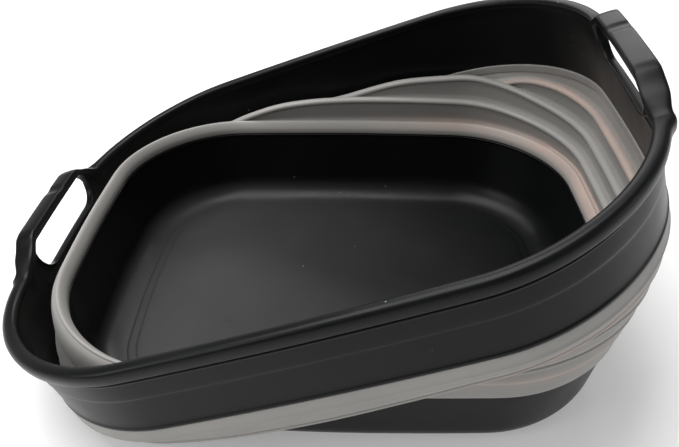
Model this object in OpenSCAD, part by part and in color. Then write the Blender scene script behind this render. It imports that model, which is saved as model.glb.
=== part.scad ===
// Collapsible pet bathtub: a flat-bottomed tray, a stepped folding wall and a stiff rim with two
// arch handles. It is drawn half folded: the left end (-X) is pushed down and the right end (+X) is up.
// The origin is the centre of the tray's flat underside, +X runs along the tub and +Z is up.

/* [Rim] */
// Half of the rim's length over the rolled lip
rim_half_length = 300; // [296:1:304]
// How much shorter the half width is than the half length, at every level
side_difference = 50; // [44:1:56]
// Corner radius of the lip's outer edge, seen from above
lip_corner_radius = 155; // [145:1:165]
// How far the long sides bow outwards between the corners
side_bow = 10.5; // [6:0.5:14]
// How far the short ends bow outwards between the corners
end_bow = 10.7; // [6:0.5:14]
// Depth of the stiff skirt below the lip
skirt_depth = 72; // [68:1:76]
// Height of the soft collar that hangs below the skirt
rim_collar_height = 14; // [12:1:15]

/* [Handles] */
// Height of a handle's flat top above the lip
handle_rise = 27; // [24:1:30]
// Depth of the strap from its top to its underside
strap_depth = 10; // [8:0.5:11]
// Width of the strap across the end wall
strap_width = 20; // [18:1:22]
// Half length of the strap's flat top
handle_flat_half = 62; // [56:1:66]
// Half distance between the strap's two feet
handle_foot_half = 101; // [98:1:104]
// Half length of the finger slot at its lower edge
slot_half_length = 72; // [66:1:76]
// How far the finger slot reaches down into the end wall
slot_depth = 16; // [12:1:20]
// How far each handle's middle sits off the centre line, the right one to -Y and the left one to +Y
handle_shift = 16; // [0:1:20]

/* [Folding wall] */
// Slope of the rim in the half folded position, in degrees
rim_tilt = 19.5; // [19:0.1:20]
// Number of folding steps between the tray and the rim
fold_count = 4; // [4]
// Sideways distance from one fold ring to the next
fold_pitch = 6.6; // [6.5:0.1:6.8]
// Thickness of a fold ring
fold_wall = 1.8; // [1.6:0.1:2]
// Thickness of a fold's turning web on the long sides
web_wall = 1.2; // [1:0.1:1.4]
// Half length of a turning web
web_half_length = 105; // [90:5:120]
// Height of a turning web
web_height = 16; // [12:1:20]

/* [Tray] */
// Height of the tray with its soft collar, which is also the height of the fold axis
tray_height = 98; // [98:0.5:99]
// Half of the tray's length over its soft collar
tray_half_length = 264.5; // [264:0.5:265]
// Height of the soft collar around the tray's top
tray_collar_height = 20; // [17:1:22]
// Thickness of the tray's floor
floor_thickness = 3; // [2.5:0.5:4]
// Radius of the rounding around the tray's underside
foot_radius = 28; // [24:1:30]
// Radius of the rounding between the floor and the inner wall
floor_radius = 30; // [26:1:32]

/* [Hidden] */

// Smoothness of the outlines
corner_steps = 9;
long_side_steps = 6;
short_side_steps = 4;
round_steps = 5;
// Folding wall, worked out from the tilt
fold_angle = rim_tilt / fold_count;
collar_half_length = rim_half_length - 9.1;
fold_travel = collar_half_length * sin(rim_tilt) / fold_count;
closing_gap = 0.4;
bead_height = 2;
bead_width = 0.8;
web_inset = 3.5;
lip_to_fold = skirt_depth + rim_collar_height;
// Tray wall
rebate_floor = tray_height - 14;
rebate_top = tray_height - 3;
collar_foot = tray_height - tray_collar_height;
panel_rise = 1;

plastic_black = "#303230";
rubber_grey = "#a39e9c";

// One corner of the outline before it is bowed: quarter q, step i along its arc.
function arc_point(a, b, r, q, i) =
    let (t = 90 * (q + i / corner_steps))
    [(q == 0 || q == 3 ? a - r : r - a) + r * cos(t), (q < 2 ? b - r : r - b) + r * sin(t)];

// Bows the sides: the middle of each side stays, and the corners draw in.
function bow(p, a, b) =
    [p[0] - sign(p[0]) * end_bow * pow(p[1] / b, 2), p[1] - sign(p[1]) * side_bow * pow(p[0] / a, 2)];

// The outline whose half length is a, counterclockwise. All levels of the tub share this family.
function outline(a) =
    let (b = a - side_difference, r = lip_corner_radius - (rim_half_length - a))
    [for (q = [0:3])
        let (steps = q % 2 == 0 ? long_side_steps : short_side_steps,
             from = arc_point(a, b, r, q, corner_steps), to = arc_point(a, b, r, (q + 1) % 4, 0))
        each concat([for (i = [0:corner_steps]) bow(arc_point(a, b, r, q, i), a, b)],
                    [for (j = [1:steps - 1]) bow(from + (to - from) * j / steps, a, b)])];

// Points of an arc in a wall's section: centre, radius, first and last angle.
function section_arc(c, r, from, to) =
    [for (i = [0:round_steps]) let (t = from + (to - from) * i / round_steps) c + r * [cos(t), sin(t)]];

// A shell swept round the outline family. section holds [half length, height] pairs in order.
// With closed = true the section is a loop; otherwise its two ends are capped by flat faces.
module sweep(section, closed = true) {
    n = len(outline(section[0][0]));
    m = len(section);
    last = closed ? m - 1 : m - 2;
    polyhedron(
        points = [for (s = section) each [for (p = outline(s[0])) [p[0], p[1], s[1]]]],
        faces = concat(
            [for (k = [0:last]) for (i = [0:n - 1])
                let (a = k * n, b = ((k + 1) % m) * n, j = (i + 1) % n)
                each [[a + i, b + i, a + j], [a + j, b + i, b + j]]],
            closed ? [] : [[for (i = [0:n - 1]) i], [for (i = [n - 1:-1:0]) (m - 1) * n + i]]),
        convexity = 8);
}

// A flat ring between two outlines, centred on half length a.
module flat_ring(a, thickness) {
    difference() {
        polygon(outline(a + thickness / 2));
        polygon(outline(a - thickness / 2));
    }
}

// Turns a fold level about the fold axis, which crosses the tub at its middle.
module at_fold(level) {
    translate([0, 0, tray_height])
        rotate([0, -level * fold_angle, 0])
            children();
}

// Moves the rim's own frame, whose z = 0 is the lip's widest line, into place.
module at_rim() {
    at_fold(fold_count)
        translate([0, 0, lip_to_fold])
            children();
}

module base_tray() {
    foot_half = tray_half_length - 40;
    inner_half = tray_half_length - 45;
    section = concat(
        [[foot_half - 2.5, 0]],
        section_arc([foot_half, foot_radius], foot_radius, -84, -8),
        [[tray_half_length - 3.2, collar_foot - 0.5],
         [tray_half_length - 3.4, rebate_top],
         [tray_half_length - 5.8, rebate_top],
         [tray_half_length - 5.8, rebate_floor],
         [tray_half_length - 8.5, rebate_floor]],
        section_arc([inner_half, floor_thickness + floor_radius], floor_radius, -4, -88),
        [[inner_half - 12, floor_thickness],
         [inner_half - 14, floor_thickness + panel_rise]]);
    color(plastic_black) sweep(section, closed = false);
}

module tray_collar() {
    outer = tray_half_length;
    color(rubber_grey)
        sweep([[outer - 8.5, rebate_floor],
               [outer - 5.8, rebate_floor],
               [outer - 5.8, rebate_top],
               [outer - 3.4, rebate_top],
               [outer - 3.2, collar_foot],
               [outer - 0.4, collar_foot],
               [outer, collar_foot + 1],
               [outer - 0.2, tray_height - 2],
               [outer - 2, tray_height],
               [outer - 6, tray_height],
               [outer - 8.2, tray_height - 2.5]]);
}

// A stiff ring of the folding wall. Each reaches down or up so that the three close the open end.
module fold_ring(level) {
    a = tray_half_length + fold_pitch * level;
    below = fold_travel * (fold_count - level) / (fold_count - 1);
    above = fold_travel * level / (fold_count - 1) - closing_gap;
    color(rubber_grey)
        at_fold(level) {
            translate([0, 0, -below])
                linear_extrude(below + above) flat_ring(a, fold_wall);
            translate([0, 0, above - bead_height])
                linear_extrude(bead_height) flat_ring(a - bead_width / 2, fold_wall + bead_width);
        }
}

// The two webs on the long sides that roll over when a fold turns inside out.
module fold_web(level) {
    a = tray_half_length + fold_pitch * level - web_inset;
    color(rubber_grey)
        at_fold(level - 0.5)
            translate([0, 0, -web_height / 2])
                linear_extrude(web_height)
                    intersection() {
                        flat_ring(a, web_wall);
                        square([2 * web_half_length, 3 * a], center = true);
                    }
}

module rim_collar() {
    outer = rim_half_length - 8.4;
    color(rubber_grey)
        at_rim()
            sweep([[outer - 2.6, -lip_to_fold + 0.6],
                   [outer - 2.2, -lip_to_fold],
                   [outer - 0.6, -lip_to_fold],
                   [outer, -lip_to_fold + 0.8],
                   [outer, -skirt_depth],
                   [outer - 2.6, -skirt_depth]]);
}

// The rolled lip and the skirt, all round.
module rim_band() {
    a = rim_half_length;
    sweep([[a - 11, -skirt_depth],
           [a - 8.4, -skirt_depth],
           [a - 7.8, -skirt_depth + 38],
           [a - 7, -skirt_depth + 39],
           [a - 7, -8],
           [a - 6.4, -5.4],
           [a - 3.4, -5],
           [a - 3.2, -8.9],
           [a - 1.4, -8.5],
           [a - 0.2, -4],
           [a, 0],
           [a - 1.2, 3],
           [a - 4, 4.6],
           [a - 9, 4.8],
           [a - 12, 3.6],
           [a - 13, 1.5],
           [a - 12.4, -1.5],
           [a - 10.2, -6],
           [a - 10.4, -skirt_depth + 38]]);
}

// Side view of the finger slot, in the end wall's plane.
module slot_shape() {
    top_half = handle_flat_half + 4;
    polygon([[-slot_half_length + 14, -slot_depth],
             [slot_half_length - 14, -slot_depth],
             [slot_half_length - 4, -slot_depth + 4],
             [slot_half_length, -slot_depth + 14],
             [slot_half_length + 4, 2],
             [top_half, handle_rise - strap_depth],
             [-top_half, handle_rise - strap_depth],
             [-slot_half_length - 4, 2],
             [-slot_half_length, -slot_depth + 14],
             [-slot_half_length + 4, -slot_depth + 4]]);
}

// Side view of the strap, from foot to foot.
module strap_shape() {
    difference() {
        polygon([[-handle_foot_half, -6],
                 [handle_foot_half, -6],
                 [handle_foot_half + 3, 1],
                 [handle_foot_half - 3, 6],
                 [handle_foot_half - 9, 12],
                 [handle_flat_half + 8, handle_rise - 3],
                 [handle_flat_half, handle_rise],
                 [-handle_flat_half, handle_rise],
                 [-handle_flat_half - 8, handle_rise - 3],
                 [-handle_foot_half + 9, 12],
                 [-handle_foot_half + 3, 6],
                 [-handle_foot_half - 3, 1]]);
        slot_shape();
        translate([-slot_half_length, -10]) square([2 * slot_half_length, 14]);
    }
}

module rim_frame() {
    color(plastic_black)
        at_rim() {
            difference() {
                rim_band();
                for (side = [-1, 1])
                    translate([side * (rim_half_length - 6) - 25, -side * handle_shift, 0])
                        rotate([90, 0, 90]) linear_extrude(50) slot_shape();
            }
            for (side = [-1, 1])
                translate([side * (rim_half_length - 7) - strap_width / 2, -side * handle_shift, 0])
                    rotate([90, 0, 90]) linear_extrude(strap_width) strap_shape();
        }
}

base_tray();
tray_collar();
fold_web(1);  // fold_web_1
fold_ring(1);  // fold_ring_1
fold_web(2);  // fold_web_2
fold_ring(2);  // fold_ring_2
fold_web(3);  // fold_web_3
fold_ring(3);  // fold_ring_3
fold_web(4);  // fold_web_4
rim_frame();
rim_collar();
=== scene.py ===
import math

import bmesh
import bpy
import numpy as np
from mathutils import Matrix, Vector


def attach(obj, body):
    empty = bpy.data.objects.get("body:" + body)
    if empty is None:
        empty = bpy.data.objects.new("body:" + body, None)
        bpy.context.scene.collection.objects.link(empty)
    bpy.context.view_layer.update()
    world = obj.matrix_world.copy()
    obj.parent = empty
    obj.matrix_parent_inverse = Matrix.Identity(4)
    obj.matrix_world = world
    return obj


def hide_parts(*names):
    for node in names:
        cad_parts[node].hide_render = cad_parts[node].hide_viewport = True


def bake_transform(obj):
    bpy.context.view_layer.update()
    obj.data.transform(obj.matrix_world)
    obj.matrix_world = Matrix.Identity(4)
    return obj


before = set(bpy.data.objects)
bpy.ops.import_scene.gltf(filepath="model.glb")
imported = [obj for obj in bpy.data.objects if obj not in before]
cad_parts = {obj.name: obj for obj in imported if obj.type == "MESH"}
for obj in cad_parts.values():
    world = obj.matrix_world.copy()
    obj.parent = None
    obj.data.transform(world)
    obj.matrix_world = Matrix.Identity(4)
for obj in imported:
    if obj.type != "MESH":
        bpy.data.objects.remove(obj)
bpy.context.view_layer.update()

bl_info = {
    "name": "Folding Wash Tub",
    "version": (1, 0, 0),
    "blender": (4, 5, 0),
    "location": "3D View > Sidebar > Wash Tub",
    "description": "Builds the tray, folding wall and handled rim of a collapsible wash tub",
    "category": "Add Mesh",
}

# Sizes below are in millimetres, apart from the stage's and the settings', and every mesh is in metres.
MM = 0.001
# Half the difference between the tub's length and its width
SIDE_DIFFERENCE = 50.0
# Centre that the corner arcs of every outline share
CORNER_X = 145.0
CORNER_Y = 95.0
# How far the ends of a long side and of an end wall fall back from its middle
SIDE_BOW = 10.5
END_BOW = 10.7
# The bow's slide along each side grows from nothing over this distance from the middle
MIDDLE = 50.0
# Stations of a quarter outline: spacing along the end, angles round the corner, how many along the side
END_SPACING = 4.0
CORNER_ANGLES = (0.0, 1.2, 2.4, 3.6, 5.0, 6.5, 8.0, 9.5, 11.0, 12.6, *np.linspace(15.0, 90.0, 21))
SIDE_STATIONS = 12
# One fold turns the wall by this angle about the line across the tray's top
FOLD_STEP = math.radians(4.875)
FOLDS = 4
# Each ring of the wall is this much larger all round than the one under it
FOLD_PITCH = 6.6
# Height of the tray with its collar, and its half length there
TRAY_TOP = 98.0
TRAY_OFFSET = 264.5
# The rim stands this far above the last fold's plane, measured to the lip's widest line
LIP_TO_FOLD = 86.0
# Half length of the lip at its widest line
RIM_OFFSET = 300.0


# ---------------------------------------------------------------- outlines

def quarter_stations():
    """Foot point and outward angle of each station, from the +X end's middle to the +Y side's middle."""
    found = [(CORNER_X, y, 0.0) for y in np.arange(0.0, CORNER_Y - END_SPACING / 2, END_SPACING)]
    found += [(CORNER_X, CORNER_Y, angle) for angle in CORNER_ANGLES]
    found += [(x, CORNER_Y, 90.0) for x in np.linspace(CORNER_X, 0.0, SIDE_STATIONS + 1)[1:]]
    return found


def all_stations():
    """Foot points and outward directions of the stations, counterclockwise from the +X end."""
    quarter = quarter_stations()
    found = list(quarter)
    found += [(-x, y, 180.0 - angle) for x, y, angle in reversed(quarter[:-1])]
    found += [(-x, -y, 180.0 + angle) for x, y, angle in quarter[1:]]
    found += [(x, -y, -angle) for x, y, angle in reversed(quarter[1:-1])]
    foot = np.array([[x, y] for x, y, angle in found])
    turn = np.radians([angle for x, y, angle in found])
    return foot, np.column_stack([np.cos(turn), np.sin(turn)])


FOOT, OUTWARD = all_stations()
COUNT = len(FOOT)


def outline(offset):
    """Bowed outline at this half length, one point for each station."""
    offset = np.broadcast_to(np.asarray(offset, float), (COUNT,))
    x, y = (FOOT + (offset - CORNER_X)[:, None] * OUTWARD).T
    bowed_x = x - np.clip(x / MIDDLE, -1.0, 1.0) * END_BOW * (y / (offset - SIDE_DIFFERENCE)) ** 2
    bowed_y = y - np.clip(y / MIDDLE, -1.0, 1.0) * SIDE_BOW * (x / offset) ** 2
    return np.column_stack([bowed_x, bowed_y])


def tilted(offset, height, level):
    """Outline raised by height and turned by level folds about the line across the tray's top."""
    x, y = outline(offset).T
    height = np.broadcast_to(np.asarray(height, float), (COUNT,))
    turn = level * FOLD_STEP
    return np.column_stack([x * math.cos(turn) - height * math.sin(turn), y,
                            x * math.sin(turn) + height * math.cos(turn) + TRAY_TOP])


def level_row(offset, height):
    """Row of the tray, which lies flat."""
    return tilted(offset, np.asarray(height, float) - TRAY_TOP, 0.0)


def rim_row(offset, height):
    """Row of the rim: offset from the lip's widest line and height above it."""
    return tilted(RIM_OFFSET + np.asarray(offset, float), np.asarray(height, float) + LIP_TO_FOLD, FOLDS)


def smooth_line(stations, at):
    """Smooth curve through (position, value) stations."""
    xs, ys = np.array(stations, float).T
    slopes = np.gradient(ys, xs)
    i = np.clip(np.searchsorted(xs, at) - 1, 0, len(xs) - 2)
    span = xs[i + 1] - xs[i]
    t = np.clip((at - xs[i]) / span, 0.0, 1.0)
    return ((1 + 2 * t) * (1 - t) ** 2 * ys[i] + t * (1 - t) ** 2 * span * slopes[i]
            + t * t * (3 - 2 * t) * ys[i + 1] + t * t * (t - 1) * span * slopes[i + 1])


def ease(value, low, high):
    """0 below low, 1 above high, and smooth between them."""
    t = np.clip((np.asarray(value, float) - low) / (high - low), 0.0, 1.0)
    return t * t * (3 - 2 * t)


# ---------------------------------------------------------------- mesh building

def start_ring(bm, points):
    """A circle moved onto the first row of points."""
    ring = bmesh.ops.create_circle(bm, segments=len(points), radius=1.0)["verts"]
    ring = sorted(ring, key=lambda v: math.atan2(v.co.y, v.co.x) % (2 * math.pi))
    for vert, point in zip(ring, points):
        vert.co = Vector(point) * MM
    return ring


def extrude_ring(bm, ring, points):
    """Extrudes a closed row once and moves the new row onto its points."""
    count = len(ring)
    edges = [bm.edges.get((ring[i], ring[(i + 1) % count])) for i in range(count)]
    made = bmesh.ops.extrude_edge_only(bm, edges=edges)["geom"]
    fresh = {v for v in made if isinstance(v, bmesh.types.BMVert)}
    after = []
    for vert in ring:
        after.append(next(e.other_vert(vert) for e in vert.link_edges if e.other_vert(vert) in fresh))
    for vert, point in zip(after, points):
        vert.co = Vector(point) * MM
    return after


def loft(rows, closed=True, values=()):
    """Skin through the rows, with its rows of vertices. A closed one ends in its first row.

    values gives vertex layers by name: one value for each row, or for each station of each row.
    """
    bm = bmesh.new()
    layers = {name: bm.verts.layers.float.new(name) for name in dict(values)}
    rings = [start_ring(bm, rows[0])]
    for points in rows[1:]:
        rings.append(extrude_ring(bm, rings[-1], points))
    if closed:
        last = extrude_ring(bm, rings[-1], rows[0])
        bmesh.ops.weld_verts(bm, targetmap=dict(zip(last, rings[0])))
    for name, layer in layers.items():
        for ring, shares in zip(rings, dict(values)[name]):
            for vert, value in zip(ring, np.broadcast_to(shares, (len(ring),))):
                vert[layer] = float(value)
    return bm, rings


def close_pole(bm, ring, centre):
    """Closes a row with a fan to its centre."""
    tip = extrude_ring(bm, ring, [centre] * len(ring))
    bmesh.ops.pointmerge(bm, verts=tip, merge_co=Vector(centre) * MM)


# Edges of a piece without a subdivision surface that turn by more than this are drawn sharp
SHARP_ANGLE = math.radians(50.0)


def make_piece(bm, name, finish, levels=0):
    """Turns the mesh into an object with outward faces, its finish and, at levels, a subdivision surface."""
    bmesh.ops.recalc_face_normals(bm, faces=bm.faces)
    mesh = bpy.data.meshes.new(name)
    bm.to_mesh(mesh)
    bm.free()
    mesh.materials.append(finish)
    mesh.polygons.foreach_set("use_smooth", [True] * len(mesh.polygons))
    if not levels:
        mesh.set_sharp_from_angle(angle=SHARP_ANGLE)
    piece = bpy.data.objects.new(name, mesh)
    bpy.context.scene.collection.objects.link(piece)
    if levels:
        surface = piece.modifiers.new("Subdivision", "SUBSURF")
        surface.levels = levels
        surface.render_levels = levels
    return piece


# ---------------------------------------------------------------- finishes

WHITE = (1.0, 1.0, 1.0, 1.0)


def linear(code):
    """Linear colour of an sRGB hex code."""
    parts = [int(code[i:i + 2], 16) / 255 for i in (1, 3, 5)]
    return [p / 12.92 if p <= 0.04045 else ((p + 0.055) / 1.055) ** 2.4 for p in parts]


def add_node(tree, kind, settings=(), links=()):
    """Adds a node with its links and its settings, which are properties of its own or values of inputs."""
    node = tree.nodes.new(kind)
    for key, value in dict(settings).items():
        if isinstance(key, str) and hasattr(node, key):
            setattr(node, key, value)
        else:
            node.inputs[key].default_value = value
    for key, socket in dict(links).items():
        tree.links.new(socket, node.inputs[key])
    return node


# Sockets of the Mix node in its colour mode
MIX_SHARE, MIX_FIRST, MIX_SECOND, MIX_RESULT = 0, 6, 7, 2


def new_finish(name):
    """An empty material with its node tree and object coordinates."""
    finish = bpy.data.materials.new(name)
    finish.use_nodes = True
    tree = finish.node_tree
    tree.nodes.clear()
    place = add_node(tree, "ShaderNodeTexCoord").outputs["Object"]
    return finish, tree, place


def polypropylene():
    """Injection-moulded polypropylene, satin black: faint sink waves, spark-eroded grain, a painted
    reflection on the tray's floor, dust.
    """
    finish, tree, place = new_finish("polypropylene_moulded_satin_black")
    tub = bpy.context.scene.wash_tub
    # Flow of the melt leaves patches some 90 mm wide that are a little glossier than the rest.
    flow = add_node(tree, "ShaderNodeTexNoise", {"Scale": 11.0, "Detail": 2.0}, {"Vector": place})
    clean = add_node(tree, "ShaderNodeMix",
                     {"data_type": "RGBA", MIX_FIRST: (*tub.shell_colour, 1.0),
                      MIX_SECOND: (*linear("#0f1010"), 1.0)},
                     {MIX_SHARE: flow.outputs["Fac"]})
    # Painted reflection: the tray's floor, below about 20 mm, is painted a paler grey, most of all toward the
    # low end, standing in for the light that the floor reflects.
    where = add_node(tree, "ShaderNodeSeparateXYZ", (), {0: place})
    near_floor = add_node(tree, "ShaderNodeMapRange", {"From Min": 0.02, "From Max": 0.004},
                          {"Value": where.outputs["Z"]})
    toward_low_end = add_node(tree, "ShaderNodeMapRange", {"From Min": 0.2, "From Max": -0.16},
                              {"Value": where.outputs["X"]})
    painted_floor_reflection = add_node(tree, "ShaderNodeMath", {"operation": "MULTIPLY"},
                       {0: near_floor.outputs["Result"], 1: toward_low_end.outputs["Result"]})
    tone = add_node(tree, "ShaderNodeMix", {"data_type": "RGBA", MIX_SECOND: (*linear("#333433"), 1.0)},
                    {MIX_SHARE: painted_floor_reflection.outputs["Value"], MIX_FIRST: clean.outputs[MIX_RESULT]})
    # Dust: specks of about 1 mm, one in each cell of 33 mm at most.
    cells = add_node(tree, "ShaderNodeTexVoronoi", {"Scale": 30.0, "Randomness": 1.0}, {"Vector": place})
    speck = add_node(tree, "ShaderNodeMapRange",
                     {"From Min": 0.014, "From Max": 0.024, "To Min": 0.8, "To Max": 0.0},
                     {"Value": cells.outputs["Distance"]})
    colour = add_node(tree, "ShaderNodeMix", {"data_type": "RGBA", MIX_SECOND: (*linear("#9a9a98"), 1.0)},
                      {MIX_SHARE: speck.outputs["Result"], MIX_FIRST: tone.outputs[MIX_RESULT]})
    gloss = add_node(tree, "ShaderNodeMapRange",
                     {"From Min": 0.3, "From Max": 0.7, "To Min": 0.27, "To Max": 0.4},
                     {"Value": flow.outputs["Fac"]})
    # The mould's grain is 0.1 mm and is drawn at 1.5 mm so that it shows; sink waves are 45 mm long.
    grain = add_node(tree, "ShaderNodeTexNoise", {"Scale": 660.0, "Detail": 2.0}, {"Vector": place})
    waves = add_node(tree, "ShaderNodeTexNoise", {"Scale": 22.0, "Detail": 1.0}, {"Vector": place})
    fine = add_node(tree, "ShaderNodeBump", {"Strength": 0.12, "Distance": 0.00025},
                    {"Height": grain.outputs["Fac"]})
    soft = add_node(tree, "ShaderNodeBump", {"Strength": 0.35, "Distance": 0.0016},
                    {"Height": waves.outputs["Fac"], "Normal": fine.outputs["Normal"]})
    shader = add_node(tree, "ShaderNodeBsdfPrincipled", {"IOR": 1.49, "Specular IOR Level": 0.16},
                      {"Base Color": colour.outputs[MIX_RESULT], "Roughness": gloss.outputs["Result"],
                       "Normal": soft.outputs["Normal"]})
    add_node(tree, "ShaderNodeOutputMaterial", (), {"Surface": shader.outputs["BSDF"]})
    return finish


def elastomer():
    """Thermoplastic elastomer, moulded grey: dry and silky, cloudy, with a warm painted highlight on the
    wall's lit tops.
    """
    finish, tree, place = new_finish("thermoplastic_elastomer_moulded_grey")
    tub = bpy.context.scene.wash_tub
    # Clouds some 70 mm wide, as the filler flowed.
    clouds = add_node(tree, "ShaderNodeTexNoise", {"Scale": 14.0, "Detail": 3.0}, {"Vector": place})
    tone = add_node(tree, "ShaderNodeMix",
                    {"data_type": "RGBA", MIX_FIRST: (*tub.wall_colour, 1.0),
                     MIX_SECOND: (*linear("#8b8986"), 1.0)},
                    {MIX_SHARE: clouds.outputs["Fac"]})
    # Painted highlight: a warm tone, patchy with the clouds, is painted on the lit tops of the tray's collar,
    # the first sheet and the last nose.
    highlight_share = add_node(tree, "ShaderNodeAttribute", {"attribute_name": "painted_highlight"})
    patches = add_node(tree, "ShaderNodeMath", {"operation": "MULTIPLY"},
                       {0: highlight_share.outputs["Fac"], 1: clouds.outputs["Fac"]})
    colour = add_node(tree, "ShaderNodeMix", {"data_type": "RGBA", MIX_SECOND: (*tub.painted_highlight_colour, 1.0)},
                      {MIX_SHARE: patches.outputs["Value"], MIX_FIRST: tone.outputs[MIX_RESULT]})
    gloss = add_node(tree, "ShaderNodeMapRange",
                     {"From Min": 0.3, "From Max": 0.7, "To Min": 0.42, "To Max": 0.56},
                     {"Value": clouds.outputs["Fac"]})
    # Fine matt texture, 0.2 mm on the mould and drawn at 2 mm so that it shows.
    grain = add_node(tree, "ShaderNodeTexNoise", {"Scale": 500.0, "Detail": 2.0}, {"Vector": place})
    bump = add_node(tree, "ShaderNodeBump", {"Strength": 0.15, "Distance": 0.0002},
                    {"Height": grain.outputs["Fac"]})
    shader = add_node(tree, "ShaderNodeBsdfPrincipled", {"IOR": 1.5, "Sheen Weight": 0.08},
                      {"Base Color": colour.outputs[MIX_RESULT], "Roughness": gloss.outputs["Result"],
                       "Normal": bump.outputs["Normal"]})
    add_node(tree, "ShaderNodeOutputMaterial", (), {"Surface": shader.outputs["BSDF"]})
    return finish


def paper():
    """Studio paper, pressed from bleached fibre, white and matt, and lit from behind: a faint fibre tone."""
    finish, tree, place = new_finish("studio_paper_matt_white")
    fibre = add_node(tree, "ShaderNodeTexNoise", {"Scale": 30.0}, {"Vector": place})
    tone = add_node(tree, "ShaderNodeMix",
                    {"data_type": "RGBA", MIX_FIRST: (*linear("#eaeaea"), 1.0),
                     MIX_SECOND: (*linear("#e6e6e6"), 1.0)},
                    {MIX_SHARE: fibre.outputs["Fac"]})
    shader = add_node(tree, "ShaderNodeBsdfPrincipled",
                      {"Roughness": 0.9, "IOR": 1.45, "Emission Color": WHITE, "Emission Strength": 0.25},
                      {"Base Color": tone.outputs[MIX_RESULT]})
    add_node(tree, "ShaderNodeOutputMaterial", (), {"Surface": shader.outputs["BSDF"]})
    return finish


made_finishes = {}


def finish_named(maker):
    """The material that this function makes, made once."""
    if maker.__name__ not in made_finishes:
        made_finishes[maker.__name__] = maker()
    return made_finishes[maker.__name__]


# ---------------------------------------------------------------- tray

# The rounded foot outside and the rounded floor inside: radius, and how far in the arc's centre lies
FOOT_RADIUS = 28.0
FOOT_INSET = 40.0
FLOOR_RADIUS = 30.0
FLOOR_INSET = 45.0
FLOOR_THICKNESS = 3.0
# Underside from inside out, brim and its tongue from outside in, floor panel: half length and height
TRAY_UNDER = ((200.0, 1.2), (206.0, 1.2), (207.6, 0.4), (209.0, 0.0), (218.0, 0.0))
TRAY_BRIM = ((255.4, 44.0), (258.4, 61.0), (260.6, 74.0), (261.2, 77.6), (261.2, 83.2), (260.8, 84.3),
             (259.1, 84.9), (258.7, 86.0), (258.6, 91.6), (258.2, 92.3), (257.6, 92.3), (257.2, 91.6),
             (257.1, 86.0), (256.7, 85.3), (255.4, 85.2), (254.7, 84.6), (254.6, 83.6), (255.2, 83.0),
             (255.6, 82.2), (255.3, 80.0), (253.6, 62.0), (251.3, 44.0))
FLOOR_STEPS = ((219.6, 3.0), (219.0, 3.1), (218.3, 3.5), (217.4, 3.6), (211.4, 3.6), (210.6, 3.7),
               (209.8, 4.1), (208.8, 4.2), (190.0, 4.2))
# Rows that carry the underside and the floor to their middles, as shares of the last full row
POLE_SCALES = (0.8, 0.55, 0.3, 0.1)


def arc(centre, radius, start, end, steps):
    """Points of an arc in a section."""
    turns = np.radians(np.linspace(start, end, steps))
    return [(centre[0] + radius * math.cos(a), centre[1] + radius * math.sin(a)) for a in turns]


def build_tray():
    """The moulded tray: foot ring, large foot radius, brim with the collar's tongue, floor panel."""
    foot_centre = (TRAY_OFFSET - FOOT_INSET, FOOT_RADIUS)
    floor_centre = (TRAY_OFFSET - FLOOR_INSET, FLOOR_THICKNESS + FLOOR_RADIUS)
    section = list(TRAY_UNDER)
    section += arc(foot_centre, FOOT_RADIUS, -84.0, -8.0, 11)
    section += list(TRAY_BRIM)
    section += arc(floor_centre, FLOOR_RADIUS, -4.0, -88.0, 12)
    section += list(FLOOR_STEPS)
    rows = [level_row(offset, height) for offset, height in section]
    bm, rings = loft(rows, closed=False)
    for last in (0, -1):
        ring = rings[last]
        for scale in POLE_SCALES:
            ring = extrude_ring(bm, ring, rows[last] * np.array([scale, scale, 1.0]))
        close_pole(bm, ring, (0.0, 0.0, section[last][1]))
    tray = make_piece(bm, "tray_shell", finish_named(polypropylene), levels=1)
    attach(tray, "tray")
    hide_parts("base_tray")


# Collar over the tray's brim: half length, height, share of the warm painted highlight
TRAY_COLLAR = ((261.7, 78.5, 0), (263.6, 78.2, 0), (264.4, 79.0, 0), (264.6, 88.0, 0), (264.5, 95.0, 0.4),
               (264.4, 98.6, 1), (263.7, 100.3, 1), (262.3, 100.9, 1), (260.6, 99.8, 1), (258.6, 97.4, 1),
               (256.8, 94.5, 0.8), (255.7, 92.0, 0.3), (255.4, 89.5, 0), (255.3, 86.9, 0), (255.8, 86.0, 0),
               (256.6, 86.0, 0), (256.9, 87.0, 0), (257.0, 92.8, 0), (258.9, 93.0, 0), (259.0, 86.2, 0),
               (261.5, 84.9, 0))
# Between these places along the tub, the warm painted highlight grows on the collar, the first sheet and the
# last nose
CREST_HIGHLIGHT = (0.0, 0.5)
NOSE_HIGHLIGHT = (0.2, 0.7)
# The first sheet's warm painted highlight fades between these shares of its way up
SHEET_HIGHLIGHT_FADES = (0.2, 0.45)


def build_tray_collar():
    """The wall's inner edge, moulded over the tray's brim."""
    # Painted highlight: the collar's top rows get the warm tone, growing toward the +X end.
    painted_highlight = [share * ease(along(), *CREST_HIGHLIGHT) for offset, height, share in TRAY_COLLAR]
    rows = [level_row(offset, height) for offset, height, share in TRAY_COLLAR]
    bm, _ = loft(rows, values={"painted_highlight": painted_highlight})
    collar = make_piece(bm, "tray_collar_band", finish_named(elastomer), levels=1)
    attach(collar, "tray")
    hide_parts("tray_collar")


# ---------------------------------------------------------------- folding wall

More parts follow.
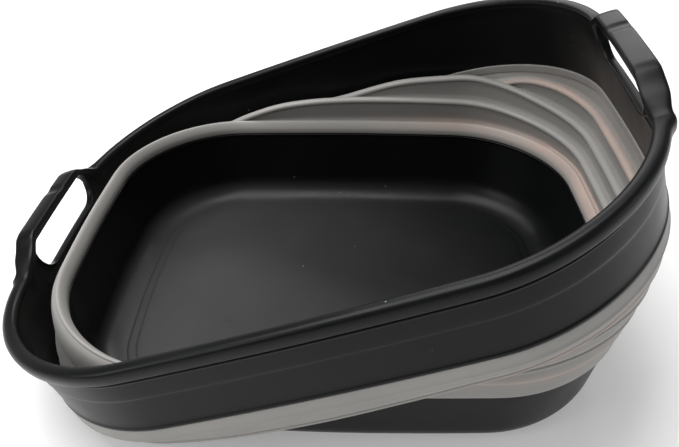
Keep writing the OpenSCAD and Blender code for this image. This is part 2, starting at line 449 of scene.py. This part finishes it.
# Height of each stiff ring along the tub, from the low end (-1) to the raised end (1), on the +Y side
BACK_LINES = {
    1: ((-1, 75.0), (-0.8, 77.5), (-0.62, 89.0), (-0.5, 99.5), (-0.42, 108.0), (-0.31, 119.0), (-0.18, 126.0),
        (0, 130.0), (0.2, 131.0), (0.38, 130.5), (0.6, 129.0), (0.8, 125.0), (1, 121.0)),
    2: ((-1, 51.4), (-0.8, 58.0), (-0.62, 75.0), (-0.45, 93.0), (-0.3, 109.0), (-0.15, 121.0), (0, 132.0),
        (0.1, 141.5), (0.21, 150.5), (0.38, 157.0), (0.54, 160.0), (0.66, 157.0), (0.85, 149.5), (1, 146.0)),
    3: ((-1, 26.4), (-0.8, 36.0), (-0.62, 55.0), (-0.45, 74.0), (-0.3, 89.0), (-0.15, 101.0), (0, 112.0),
        (0.2, 127.0), (0.38, 137.0), (0.55, 147.0), (0.66, 155.5), (0.76, 167.0), (0.88, 173.5), (1, 174.5)),
}
# The same on the -Y side, where the folds stay turned over further along
FRONT_LINES = {
    1: ((-1, 75.0), (-0.85, 75.3), (-0.6, 76.0), (-0.3, 80.0), (-0.05, 92.0), (0.2, 108.0), (0.45, 119.0),
        (0.75, 124.0), (1, 121.0)),
    2: ((-1, 51.4), (-0.85, 52.0), (-0.6, 54.0), (-0.3, 61.0), (-0.05, 79.0), (0.2, 107.0), (0.45, 133.0),
        (0.75, 148.0), (1, 146.0)),
    3: ((-1, 26.4), (-0.85, 29.0), (-0.6, 37.0), (-0.3, 53.0), (-0.05, 76.0), (0.2, 104.0), (0.45, 133.0),
        (0.7, 158.0), (0.88, 172.0), (1, 174.5)),
}
# A fold stands right up, or is turned right over, where its rings are this far apart in height
FOLD_RISE = 24.3
# The two sides' lines change over this far from the middle
SIDE_CHANGE = 60.0


def along():
    """Place of each station along the tub, from -1 to 1."""
    return outline(RIM_OFFSET)[:, 0] / RIM_OFFSET


def ring_offset(k):
    """Half length of the wall at ring k."""
    return TRAY_OFFSET + FOLD_PITCH * k


def ring_height(k):
    """Height of ring k at each station. Ring 0 is the tray's collar, and the last is the rim's collar."""
    if k == 0:
        return np.full(COUNT, TRAY_TOP)
    if k == FOLDS:
        return tilted(ring_offset(k), 0.0, k)[:, 2]
    back = ease(outline(RIM_OFFSET)[:, 1], -SIDE_CHANGE, SIDE_CHANGE)
    front_line = smooth_line(FRONT_LINES[k], along())
    return front_line + (smooth_line(BACK_LINES[k], along()) - front_line) * back


def opened(k):
    """1 where fold k stands up as a riser, 0 where it hangs turned over."""
    rise = ring_height(k) - ring_height(k - 1)
    return ease(rise, -FOLD_RISE, FOLD_RISE)


def wall_row(k, offset, height):
    """Row of the wall near ring k: half length and height at each station."""
    row = tilted(offset, 0.0, k)
    row[:, 2] = height
    return row


# Section of a fold's nose: share of the way over its tread, height. It overhangs the riser under it.
NOSE = ((-0.02, -6.2), (-0.20, -5.6), (-0.27, -4.2), (-0.22, -2.5), (-0.05, -1.1), (0.22, -0.2), (0.50, 0.15),
        (0.75, 0.1), (0.93, -0.5), (1.05, -1.1), (1.22, -1.8), (1.32, -3.2), (1.28, -4.8), (1.1, -5.5),
        (0.95, -4.7), (0.78, -2.4), (0.45, -1.4), (0.20, -2.0), (0.06, -3.2), (0.06, -5.6))
# Where its fold is turned over, a nose is narrower by this share and lower by this much
NOSE_NARROWS = 0.3
NOSE_SINKS = 1.6


def build_noses():
    """The three stiff rings: rounded noses between the folds."""
    for k in range(1, FOLDS):
        turned = 1.0 - opened(k)
        rows = []
        for share, rise in NOSE:
            offset = ring_offset(k - 1) + FOLD_PITCH * (share + turned * NOSE_NARROWS * (0.5 - share))
            rows.append(wall_row(k, offset, ring_height(k) + rise - NOSE_SINKS * turned))
        # Painted highlight: the last nose gets the warm tone toward the +X end.
        painted_highlight = ease(along(), *NOSE_HIGHLIGHT) if k == FOLDS - 1 else 0.0
        bm, _ = loft(rows, values={"painted_highlight": [painted_highlight] * len(rows)})
        nose = make_piece(bm, f"fold_nose_{k}", finish_named(elastomer), levels=1)
        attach(nose, f"ring_{k}")
        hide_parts(f"fold_ring_{k}")


# Ends of a fold's sheet: out from the half length of the ring below, and up from the end's own ring. The
# first pair holds where the fold stands, the second where it is turned over.
START_ON_TRAY = ((-0.3, -0.9), (-1.1, 0.3))
START_ON_RING = ((-0.6, -2.0), (-0.6, -2.0))
END_UNDER_RING = ((1.6, -4.6), (6.7, 0.3))
END_UNDER_RIM = ((4.6, 0.4), (6.7, 0.3))
# A standing sheet first bulges out over its nose by this much, and by more on the tray's collar
SHEET_BULGE = 2.0
CREST_BULGE = 3.4
# Share of the way at which that bulge is deepest
BULGE_AT = 0.2
# Turned over, the first sheet runs out over a shoulder: how round it is, and how late it drops
SHOULDER = 0.6
SHOULDER_DROP = 1.5


def sheet_end(standing_and_over, turned):
    """Out and up of a sheet's end, between its places where the fold stands and where it is turned over."""
    standing, over = standing_and_over
    return [low + (high - low) * turned for low, high in zip(standing, over)]


def skin_path(k, way):
    """Half length and height of fold k's sheet at this share of its way from ring k - 1 to ring k."""
    turned = 1.0 - opened(k)
    start_out, start_up = sheet_end(START_ON_TRAY if k == 1 else START_ON_RING, turned)
    end_out, end_up = sheet_end(END_UNDER_RIM if k == FOLDS else END_UNDER_RING, turned)
    out = down = way
    if k == 1:
        shoulder = SHOULDER * (1 - (1 - way) ** 3) + (1 - SHOULDER) * way
        out = way + turned * (shoulder - way)
        down = way + turned * (way ** SHOULDER_DROP - way)
    reach = way / BULGE_AT
    bulge = (CREST_BULGE if k == 1 else SHEET_BULGE) * (1 - turned) * reach * np.exp(1 - reach)
    start, end = ring_height(k - 1) + start_up, ring_height(k) + end_up
    offset = ring_offset(k - 1) + start_out + (end_out - start_out) * out + bulge
    return offset, start + (end - start) * down


# The seam between a sheet's two pieces swings from near its lower end at -X to near its upper end at +X
SEAM_SWING = 0.47
SEAM_REACH = 0.8


def seam():
    """Share of a sheet's way at which its two pieces meet, at each station."""
    return 0.5 + SEAM_SWING * (2 * ease(along(), -SEAM_REACH, SEAM_REACH) - 1)


# Share of the way over which a sheet's direction is measured, to each side, and the least length it takes
PROBE = 0.02
LEAST_STEP = 1e-6


def sheet_rows(k, ways):
    """Rows of a sheet with its thickness: once up one face and back down the other."""
    half_thickness = bpy.context.scene.wash_tub.sheet_thickness / MM / 2
    up, back = [], []
    for way in ways:
        here = np.array(skin_path(k, way))
        before = np.array(skin_path(k, np.maximum(way - PROBE, 0.0)))
        after = np.array(skin_path(k, np.minimum(way + PROBE, 1.0)))
        step = after - before
        side = np.array([step[1], -step[0]]) / np.maximum(np.hypot(*step), LEAST_STEP) * half_thickness
        for rows, sign in ((up, 1.0), (back, -1.0)):
            offset, height = here + side * sign
            rows.append(between_levels(k, way, offset, height))
    return up + back[::-1]


def between_levels(k, way, offset, height):
    """Row between the planes of ring k - 1 and ring k."""
    lower, upper = tilted(offset, 0.0, k - 1), tilted(offset, 0.0, k)
    row = lower + (upper - lower) * way[:, None]
    row[:, 2] = height
    return row


# Rows of each of a sheet's two pieces
PANEL_ROWS = 7


def build_skins():
    """The four folds' thin sheets, each in two pieces that meet along a seam."""
    steps = np.linspace(0.0, 1.0, PANEL_ROWS)
    middle = seam()
    for k in range(1, FOLDS + 1):
        below = "tray" if k == 1 else f"ring_{k - 1}"
        above = "rim" if k == FOLDS else f"ring_{k}"
        # Painted highlight: the first sheet's lower part gets the warm tone toward the +X end, fading on its
        # way up.
        crest = ease(along(), *CREST_HIGHLIGHT) if k == 1 else 0.0
        halves = (("lower", below, f"web_{k}", [middle * step for step in steps]),
                  ("upper", f"web_{k}", above, [middle + (1 - middle) * step for step in steps]))
        for half, first, second, ways in halves:
            shares = [*steps, *steps[::-1]]
            painted_highlight = [crest * (1 - ease(way, *SHEET_HIGHLIGHT_FADES)) for way in ways]
            bm, _ = loft(sheet_rows(k, ways), values={"share": shares, "painted_highlight": painted_highlight + painted_highlight[::-1]})
            skin = make_piece(bm, f"fold_skin_{k}_{half}", finish_named(elastomer))
            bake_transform(skin)
            # The share of the way up the sheet is read back from the mesh.
            values = np.zeros(len(skin.data.vertices), np.float32)
            skin.data.attributes["share"].data.foreach_get("value", values)
            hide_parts(f"fold_web_{k}")


# ---------------------------------------------------------------- rim

# Height of the lip's own top above its widest line
LIP_TOP = 5.0
# Half lengths of a strap's level top and of the whole strap
HANDLE_FLAT = 62.0
HANDLE_FOOT = 101.0
# Lower edge of the finger slot, and the radius of its lower corners
SLOT_FLOOR = -17.2
SLOT_RADIUS = 23.0
# Outside of the skirt, from its tongue up to the slot's lower edge: offset from the lip, height below it
SKIRT_OUT = ((-11.2, -75.4), (-10.8, -76.0), (-9.9, -76.0), (-9.6, -75.4), (-9.5, -73.4), (-9.2, -72.4),
             (-8.4, -72.2), (-7.6, -71.6), (-7.2, -70.4), (-7.3, -68.6), (-7.9, -67.8), (-8.3, -66.8),
             (-8.2, -58.0), (-8.0, -46.0), (-7.9, -35.4), (-7.7, -34.3), (-7.2, -33.6), (-7.0, -32.4),
             (-7.0, -24.0), (-7.0, -19.4))
# Inside of the skirt, from under the slot down. Under each slot a rib stands on it.
SKIRT_IN = ((-10.3, -19.6), (-10.3, -21.4), (-10.3, -23.0), (-10.3, -24.6), (-10.4, -34.0), (-10.6, -48.0),
            (-10.9, -62.0), (-11.1, -73.0))
# Rows at the slot's lower edge, outside and inside: offset, how it shifts under a slot, height from the edge
EDGE_OUT = ((-7.0, 0.6, -0.6), (-7.0, 0.6, 0.0))
EDGE_IN = ((-10.2, -5.0, 0.0), (-10.2, -5.2, -1.2), (-10.2, -1.2, -2.2))
# The lip, and the strap that it turns into at the handles: offset and height of each. The strap's heights
# are from its own top.
LIP = (((-7.0, -15.6), (-1.0, -10.0)), ((-6.2, -15.3), (-0.3, -10.0)), ((-5.4, -14.6), (0.4, -10.0)),
       ((-5.4, -13.4), (1.0, -9.9)), ((-6.2, -12.7), (1.6, -9.7)), ((-6.9, -12.3), (2.0, -9.4)),
       ((-7.0, -8.6), (2.4, -9.0)), ((-6.6, -6.2), (2.7, -8.4)), ((-5.2, -5.4), (2.9, -7.8)),
       ((-3.7, -5.8), (3.0, -7.0)), ((-3.3, -8.2), (3.05, -6.0)), ((-2.6, -8.9), (3.1, -5.0)),
       ((-1.5, -8.5), (3.1, -4.0)), ((-0.5, -5.6), (3.05, -3.0)), ((0.0, -1.0), (2.9, -2.0)),
       ((-0.5, 1.8), (2.6, -1.2)), ((-1.8, 3.8), (1.9, -0.5)), ((-4.0, 4.8), (0.6, -0.1)),
       ((-6.6, 5.0), (-3.6, 0.2)), ((-9.2, 4.7), (-9.0, 0.25)), ((-11.4, 3.7), (-13.6, 0.0)),
       ((-12.8, 2.0), (-15.4, -0.4)), ((-13.0, 0.0), (-16.4, -1.2)), ((-12.6, -1.9), (-16.9, -2.4)),
       ((-11.6, -3.6), (-17.0, -4.2)), ((-10.6, -5.4), (-17.0, -6.2)), ((-10.3, -8.0), (-16.9, -8.2)),
       ((-10.2, -12.0), (-16.5, -9.5)), ((-10.2, -15.6), (-15.6, -10.0)))


# Rows of the lip that flare at a strap's foot, how far out, how far from the handle's middle, and the spread
FLARED_ROWS = range(9, 20)
FLARE = 4.5
FLARE_AT = 101.0
FLARE_SPREAD = 5.5
# The ends of the tub, where the handles are, lie beyond this distance from its middle
END_ZONE = 150.0
# The strap turns into the lip between these distances from the handle's middle
STRAP_ENDS = (80.0, 105.0)
# Where the rib under a slot ends, its rows and its depth, and then the rows that step down, by how much, and
# how far past the handle's middle
RIB_ENDS = (76.0, 82.0)
RIB_ROWS = (1, 2)
RIB_DEPTH = 1.6
STEP_ROWS = (0, 1, 2, 3)
STEP_DROP = 2.4
STEP_AT = 2.0
# The slot's frame ends between these distances past the slot's end, and its corner levels out between these
FRAME_ENDS = (2.0, 10.0)
CORNER_ENDS = (2.0, 24.0)
# The slopes of a strap swing by this share about a straight line
SLOPE_SWING = 0.05
# The slot's opening takes in the stations this far past its length
SLOT_MARGIN = 0.5
# Shallow dishes in the strap's top: depth, where the dish begins and is full, where it rises and ends
GRIP_DISH = (1.1, (14.0, 18.0), (25.0, 29.0))
SLOPE_DISH = (1.5, (55.0, 60.0), (84.0, 92.0))
# They fade out between these heights, from the strap's top
DISH_FADES = (-3.0, -0.6)


def strap_top(reach):
    """Height of the handle's top at this distance from its middle."""
    rise = bpy.context.scene.wash_tub.handle_rise / MM
    slope = np.clip((HANDLE_FOOT - reach) / (HANDLE_FOOT - HANDLE_FLAT), 0.0, 1.0)
    rounded = slope + SLOPE_SWING * np.sin(2 * math.pi * slope) * (slope < 1)
    return LIP_TOP + (rise - LIP_TOP) * rounded


def dish(place, depth, falls, rises):
    """Depth of a dish at this place."""
    return depth * (ease(place, *falls) - ease(place, *rises))


def slot_floor(reach, half):
    """Height of the finger slot's lower edge, rounded up at its ends and level again past them."""
    into = np.clip(reach - (half - SLOT_RADIUS), 0.0, SLOT_RADIUS)
    corner = SLOT_FLOOR + SLOT_RADIUS - np.sqrt(SLOT_RADIUS ** 2 - into ** 2)
    return corner + (SLOT_FLOOR - corner) * ease(reach - half, *CORNER_ENDS)


def build_rim():
    """The moulded rim: skirt, rolled lip, and at each end a strap over a finger slot."""
    tub = bpy.context.scene.wash_tub
    slot_half = tub.slot_length / 2 / MM
    lip_line = outline(RIM_OFFSET)
    side = np.sign(lip_line[:, 0])
    y = lip_line[:, 1] + side * tub.handle_shift / MM
    reach = np.abs(y)
    ends = np.abs(lip_line[:, 0]) > END_ZONE
    strap = ends * (1.0 - ease(reach, *STRAP_ENDS))
    framed = ends * (1.0 - ease(reach - slot_half, *FRAME_ENDS))
    rib = ends * (1.0 - ease(reach, *RIB_ENDS))
    flare = ends * FLARE * np.exp(-((reach - FLARE_AT) / FLARE_SPREAD) ** 2)
    top = np.where(ends, strap_top(reach), LIP_TOP)
    edge = np.where(ends, slot_floor(reach, slot_half), SLOT_FLOOR)
    dishes = dish(y, *GRIP_DISH) + dish(reach, *SLOPE_DISH)
    rows = [rim_row(offset, height) for offset, height in SKIRT_OUT]
    rows += [rim_row(offset + push * framed, edge + rise) for offset, push, rise in EDGE_OUT]
    slot_out = len(rows) - 1
    for i, ((offset, height), (strap_offset, strap_height)) in enumerate(LIP):
        out = offset + (strap_offset - offset) * strap + flare * (i in FLARED_ROWS)
        from_top = strap_height - dishes * ease(strap_height, *DISH_FADES)
        rows.append(rim_row(out, height + (top + from_top - height) * strap))
    slot_in = len(rows) - 1
    rows += [rim_row(offset + push * framed, edge + rise) for offset, push, rise in EDGE_IN]
    for i, (offset, height) in enumerate(SKIRT_IN):
        depth = RIB_DEPTH * rib * (i in RIB_ROWS)
        drop = STEP_DROP * (y * side > STEP_AT) * rib * (i in STEP_ROWS)
        rows.append(rim_row(offset - depth, height - drop))
    bm, rings = loft(rows)
    for end in (1.0, -1.0):
        cut_slot(bm, rings, slot_out, slot_in, (side == end) & (reach < slot_half + SLOT_MARGIN) & ends)
    rim = make_piece(bm, "rim_shell", finish_named(polypropylene), levels=1)
    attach(rim, "rim")
    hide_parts("rim_frame")


def cut_slot(bm, rings, slot_out, slot_in, columns):
    """Opens the end wall between the slot's edges at these stations and joins its faces round the hole."""
    def faces_above(row):
        verts = {v for ring in rings[row:row + 2] for v, inside in zip(ring, columns) if inside}
        return [f for f in bm.faces if all(v in verts for v in f.verts)]
    gone = faces_above(slot_out) + faces_above(slot_in)
    around = [e for e in {e for f in gone for e in f.edges} if sum(g in gone for g in e.link_faces) == 1]
    bmesh.ops.delete(bm, geom=gone, context="FACES")
    bmesh.ops.bridge_loops(bm, edges=[e for e in around if e.is_valid])


# Collar under the rim's skirt: offset from the lip, height below it
RIM_COLLAR = ((-9.1, -72.5), (-8.5, -72.4), (-8.2, -73.2), (-8.1, -78.0), (-8.1, -83.4), (-7.4, -84.4),
              (-7.4, -85.8), (-8.8, -86.3), (-10.6, -86.3), (-11.9, -86.0), (-12.3, -85.2), (-12.3, -79.0),
              (-12.5, -77.2), (-12.1, -76.2), (-11.5, -76.0), (-11.0, -76.5), (-9.6, -76.5), (-9.2, -75.8),
              (-9.1, -74.4))


def build_rim_collar():
    """The wall's outer edge, moulded under the rim's skirt."""
    bm, _ = loft([rim_row(offset, height) for offset, height in RIM_COLLAR])
    collar = make_piece(bm, "rim_collar_band", finish_named(elastomer), levels=1)
    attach(collar, "rim")
    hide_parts("rim_collar")


# ---------------------------------------------------------------- stage

# Camera: where it stands in metres, its turn, height angle and roll in degrees, and its lens in millimetres
CAMERA_PLACE = (0.028772, -0.581416, 0.521984)
CAMERA_TURN = 2.983
CAMERA_DOWN = 36.314
CAMERA_ROLL = -0.969
CAMERA_LENS = 37.048
CAMERA_SENSOR = 36.0
# Nearest and farthest distance that it draws, in metres
CAMERA_NEAR = 0.01
CAMERA_FAR = 50.0


def build_camera():
    """Camera at the viewing angle, with no depth of field and no shift."""
    turn, down, roll = map(math.radians, (CAMERA_TURN, CAMERA_DOWN, CAMERA_ROLL))
    ahead = Vector((-math.sin(turn) * math.cos(down), math.cos(turn) * math.cos(down), -math.sin(down)))
    right = ahead.cross(Vector((0.0, 0.0, 1.0))).normalized()
    up = right.cross(ahead)
    across = right * math.cos(roll) + up * math.sin(roll)
    over = up * math.cos(roll) - right * math.sin(roll)
    data = bpy.data.cameras.new("camera")
    data.lens = CAMERA_LENS
    data.sensor_width = CAMERA_SENSOR
    data.clip_start = CAMERA_NEAR
    data.clip_end = CAMERA_FAR
    camera = bpy.data.objects.new("camera", data)
    bpy.context.scene.collection.objects.link(camera)
    turned = Matrix((across, over, -ahead)).transposed().to_4x4()
    camera.matrix_world = Matrix.Translation(CAMERA_PLACE) @ turned
    bpy.context.scene.camera = camera


# Soft lights: name, place, aimed at, width, height, power in watts
LIGHTS = (
    ("top_softbox", (-0.7, 0.4, 2.3), (0.0, 0.0, 0.0), 2.0, 1.8, 72.0),
    ("back_softbox", (0.1, 2.3, 1.4), (0.0, 0.0, 0.1), 2.2, 0.8, 18.0),
    ("left_softbox", (-1.7, -0.9, 1.2), (0.0, 0.0, 0.1), 1.1, 1.1, 12.0),
    ("right_softbox", (1.9, -0.4, 0.7), (0.0, 0.0, 0.1), 0.8, 0.9, 3.0),
)


# The floor's half width, and how far it lies under the tub, in metres
FLOOR_HALF = 8.0
FLOOR_DROP = 0.0005


def build_stage():
    """Pale floor, soft lights and a white surround."""
    bm = bmesh.new()
    bmesh.ops.create_grid(bm, x_segments=4, y_segments=4, size=FLOOR_HALF)
    mesh = bpy.data.meshes.new("studio_floor")
    bm.to_mesh(mesh)
    bm.free()
    mesh.materials.append(finish_named(paper))
    floor = bpy.data.objects.new("studio_floor", mesh)
    bpy.context.scene.collection.objects.link(floor)
    mesh.transform(Matrix.Translation((0.0, 0.0, -FLOOR_DROP)))
    for name, place, aim, width, height, power in LIGHTS:
        data = bpy.data.lights.new(name, "AREA")
        data.shape = "RECTANGLE"
        data.size = width
        data.size_y = height
        data.energy = power
        lamp = bpy.data.objects.new(name, data)
        bpy.context.scene.collection.objects.link(lamp)
        lamp.location = place
        lamp.rotation_euler = (Vector(aim) - Vector(place)).to_track_quat("-Z", "Y").to_euler()
    world = bpy.data.worlds.new("studio_white")
    world.use_nodes = True
    surround = world.node_tree.nodes["Background"]
    surround.inputs["Color"].default_value = WHITE
    surround.inputs["Strength"].default_value = bpy.context.scene.wash_tub.surround_strength
    backdrop = add_node(world.node_tree, "ShaderNodeBackground", {"Color": WHITE})
    seen = add_node(world.node_tree, "ShaderNodeLightPath").outputs["Is Camera Ray"]
    both = add_node(world.node_tree, "ShaderNodeMixShader", (),
                    {0: seen, 1: surround.outputs[0], 2: backdrop.outputs[0]})
    world.node_tree.links.new(both.outputs[0], world.node_tree.nodes["World Output"].inputs["Surface"])
    bpy.context.scene.world = world
    bpy.context.scene.view_settings.view_transform = "Standard"


# ---------------------------------------------------------------- add-on

class WashTubSettings(bpy.types.PropertyGroup):
    """What a user would change."""

    handle_rise: bpy.props.FloatProperty(
        name="Handle rise", description="Height of a handle's top above the lip's widest line",
        unit="LENGTH", default=0.027, min=0.02, max=0.035)
    handle_shift: bpy.props.FloatProperty(
        name="Handle shift", description="How far the +X handle sits to -Y, and the -X one to +Y",
        unit="LENGTH", default=0.016, min=0.0, max=0.02)
    slot_length: bpy.props.FloatProperty(
        name="Finger slot", description="Length of the finger slot under each handle",
        unit="LENGTH", default=0.144, min=0.12, max=0.15)
    sheet_thickness: bpy.props.FloatProperty(
        name="Sheet thickness", description="Thickness of the folding wall's sheets",
        unit="LENGTH", default=0.0013, min=0.001, max=0.002)
    shell_colour: bpy.props.FloatVectorProperty(
        name="Shell colour", description="Colour of the tray and the rim",
        subtype="COLOR", size=3, min=0.0, max=1.0, default=linear("#090a0a"))
    wall_colour: bpy.props.FloatVectorProperty(
        name="Wall colour", description="Colour of the folding wall",
        subtype="COLOR", size=3, min=0.0, max=1.0, default=linear("#96938f"))
    # Painted highlight: colour of the warm tone painted on the lit tops of the collar, the first sheet and
    # the last nose.
    painted_highlight_colour: bpy.props.FloatVectorProperty(
        name="Painted highlight colour", description="Warmer tone of the wall where a fold is stretched",
        subtype="COLOR", size=3, min=0.0, max=1.0, default=linear("#b59c90"))
    surround_strength: bpy.props.FloatProperty(
        name="Surround", description="Brightness of the white surround", default=0.27, min=0.0, max=4.0)


class TUB_OT_camera(bpy.types.Operator):
    """Add the camera"""

    bl_idname = "wash_tub.camera"
    bl_label = "Camera"
    bl_options = {"REGISTER", "UNDO"}

    def execute(self, context):
        build_camera()
        return {"FINISHED"}


class TUB_OT_stage(bpy.types.Operator):
    """Add the floor, the lights and the surround"""

    bl_idname = "wash_tub.stage"
    bl_label = "Stage"
    bl_options = {"REGISTER", "UNDO"}

    def execute(self, context):
        build_stage()
        return {"FINISHED"}


class TUB_OT_tray(bpy.types.Operator):
    """Add the tray"""

    bl_idname = "wash_tub.tray"
    bl_label = "Tray"
    bl_options = {"REGISTER", "UNDO"}

    def execute(self, context):
        build_tray()
        return {"FINISHED"}


class TUB_OT_tray_collar(bpy.types.Operator):
    """Add the collar over the tray's brim"""

    bl_idname = "wash_tub.tray_collar"
    bl_label = "Tray Collar"
    bl_options = {"REGISTER", "UNDO"}

    def execute(self, context):
        build_tray_collar()
        return {"FINISHED"}


class TUB_OT_noses(bpy.types.Operator):
    """Add the three stiff rings of the wall"""

    bl_idname = "wash_tub.noses"
    bl_label = "Fold Noses"
    bl_options = {"REGISTER", "UNDO"}

    def execute(self, context):
        build_noses()
        return {"FINISHED"}


class TUB_OT_skins(bpy.types.Operator):
    """Add the thin sheets of the wall"""

    bl_idname = "wash_tub.skins"
    bl_label = "Fold Skins"
    bl_options = {"REGISTER", "UNDO"}

    def execute(self, context):
        build_skins()
        return {"FINISHED"}


class TUB_OT_rim(bpy.types.Operator):
    """Add the rim with its two handles"""

    bl_idname = "wash_tub.rim"
    bl_label = "Rim"
    bl_options = {"REGISTER", "UNDO"}

    def execute(self, context):
        build_rim()
        return {"FINISHED"}


class TUB_OT_rim_collar(bpy.types.Operator):
    """Add the collar under the rim"""

    bl_idname = "wash_tub.rim_collar"
    bl_label = "Rim Collar"
    bl_options = {"REGISTER", "UNDO"}

    def execute(self, context):
        build_rim_collar()
        return {"FINISHED"}


OPERATORS = (TUB_OT_camera, TUB_OT_stage, TUB_OT_tray, TUB_OT_tray_collar, TUB_OT_noses, TUB_OT_skins,
             TUB_OT_rim, TUB_OT_rim_collar)


class TUB_PT_pieces(bpy.types.Panel):
    """The tub's settings and pieces"""

    bl_idname = "TUB_PT_pieces"
    bl_label = "Folding Wash Tub"
    bl_space_type = "VIEW_3D"
    bl_region_type = "UI"
    bl_category = "Wash Tub"

    def draw(self, context):
        for name in WashTubSettings.__annotations__:
            self.layout.prop(context.scene.wash_tub, name)
        for operator in OPERATORS:
            self.layout.operator(operator.bl_idname)


CLASSES = (WashTubSettings, *OPERATORS, TUB_PT_pieces)


def register():
    for cls in CLASSES:
        bpy.utils.register_class(cls)
    bpy.types.Scene.wash_tub = bpy.props.PointerProperty(type=WashTubSettings)


def unregister():
    del bpy.types.Scene.wash_tub
    for cls in reversed(CLASSES):
        bpy.utils.unregister_class(cls)


def main():
    """Registers the add-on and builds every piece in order."""
    register()
    for operator in OPERATORS:
        getattr(bpy.ops.wash_tub, operator.bl_idname.split(".")[1])()


if __name__ == "__main__":
    main()
